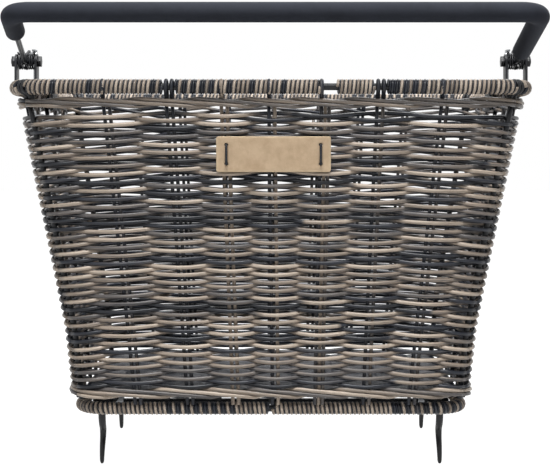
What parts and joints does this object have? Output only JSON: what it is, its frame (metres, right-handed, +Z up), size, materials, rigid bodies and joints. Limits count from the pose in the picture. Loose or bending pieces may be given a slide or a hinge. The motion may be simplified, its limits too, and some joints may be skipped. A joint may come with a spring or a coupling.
{
  "type": "bicycle basket",
  "caption": "Tapered woven bicycle basket with wrapped rims, a padded drop handle hinged on spring pivots, and carrier hooks that open as the handle is raised.",
  "frame": {"origin": "middle of the base runner's underside, which rests on the carrier", "axes": "+X along the basket's long side, +Y towards the rear, +Z up; the pictured long side faces -Y"},
  "size_m": [0.4904, 0.3378, 0.4004],
  "materials": {
    "wicker": "woven synthetic cane, satin",
    "stakes": "synthetic cane, satin",
    "black_steel": "black coated",
    "zinc_steel": "zinc plated",
    "foam": "fine-pored foam",
    "leather": "smooth tan",
    "tie": "gloss strand"
  },
  "bodies": {
    "basket": {"top_rim_wrap": "wicker", "top_rim_wire": "black_steel", "bottom_rim_wrap": "wicker", "bottom_rim_wire": "black_steel", "front_weave": "wicker", "front_stakes": "stakes", "rear_weave": "wicker", "rear_stakes": "stakes", "left_weave": "wicker", "left_stakes": "stakes", "right_weave": "wicker", "right_stakes": "stakes", "front_left_post": "black_steel", "front_right_post": "black_steel", "rear_right_post": "black_steel", "rear_left_post": "black_steel", "floor_weave": "wicker", "floor_grid": "black_steel", "base_runner": "black_steel", "leather_label": "leather", "label_tie_left": "tie", "label_tie_right": "tie", "left_hinge_bracket": "black_steel", "right_hinge_bracket": "black_steel", "left_front_rivet": "zinc_steel", "right_front_rivet": "zinc_steel", "left_rear_rivet": "zinc_steel", "right_rear_rivet": "zinc_steel", "left_pivot_bolt": "black_steel", "right_pivot_bolt": "black_steel", "left_pivot_nut": "black_steel", "right_pivot_nut": "black_steel", "front_left_clip": "zinc_steel", "front_right_clip": "zinc_steel", "rear_left_clip": "zinc_steel", "rear_right_clip": "zinc_steel"},
    "handle": {"foam_grip": "foam", "handle_tube": "black_steel", "left_handle_arm": "black_steel", "right_handle_arm": "black_steel", "left_crank_pin": "zinc_steel", "right_crank_pin": "zinc_steel", "left_outer_spring": "black_steel", "right_outer_spring": "black_steel", "left_inner_spring": "black_steel", "right_inner_spring": "black_steel"},
    "left_push_rod": {"left_push_rod": "zinc_steel"},
    "right_push_rod": {"right_push_rod": "zinc_steel"},
    "front_hooks": {"front_hook_shaft": "black_steel", "front_left_hook": "black_steel", "front_right_hook": "black_steel"},
    "rear_hooks": {"rear_hook_shaft": "black_steel", "rear_left_hook": "black_steel", "rear_right_hook": "black_steel"}
  },
  "joints": [
    {"name": "handle_pivot", "type": "hinge", "parent": "basket", "child": "handle", "pos_m": [0, 0, 0.312], "axis": [-1, 0, 0], "range_deg": [-13, 85]},
    {"name": "left_push_rod_slide", "type": "slide", "parent": "basket", "child": "left_push_rod", "axis": [0, 0, -1], "range_m": [-0.0031, 0.0198]},
    {"name": "right_push_rod_slide", "type": "slide", "parent": "basket", "child": "right_push_rod", "axis": [0, 0, -1], "range_m": [-0.0031, 0.0198]},
    {"name": "front_hooks_pivot", "type": "hinge", "parent": "basket", "child": "front_hooks", "pos_m": [0, -0.078, 0.005], "axis": [-1, 0, 0], "range_deg": [-4, 25]},
    {"name": "rear_hooks_pivot", "type": "hinge", "parent": "basket", "child": "rear_hooks", "pos_m": [0, 0.078, 0.005], "axis": [1, 0, 0], "range_deg": [-4, 25]}
  ],
  "couplings": [
    {"joint": "left_push_rod_slide", "follows": "handle_pivot", "m_per_rad": 0.013242},
    {"joint": "right_push_rod_slide", "follows": "handle_pivot", "m_per_rad": 0.013242},
    {"joint": "front_hooks_pivot", "follows": "handle_pivot", "ratio": 0.2879},
    {"joint": "rear_hooks_pivot", "follows": "handle_pivot", "ratio": 0.2879}
  ]
}
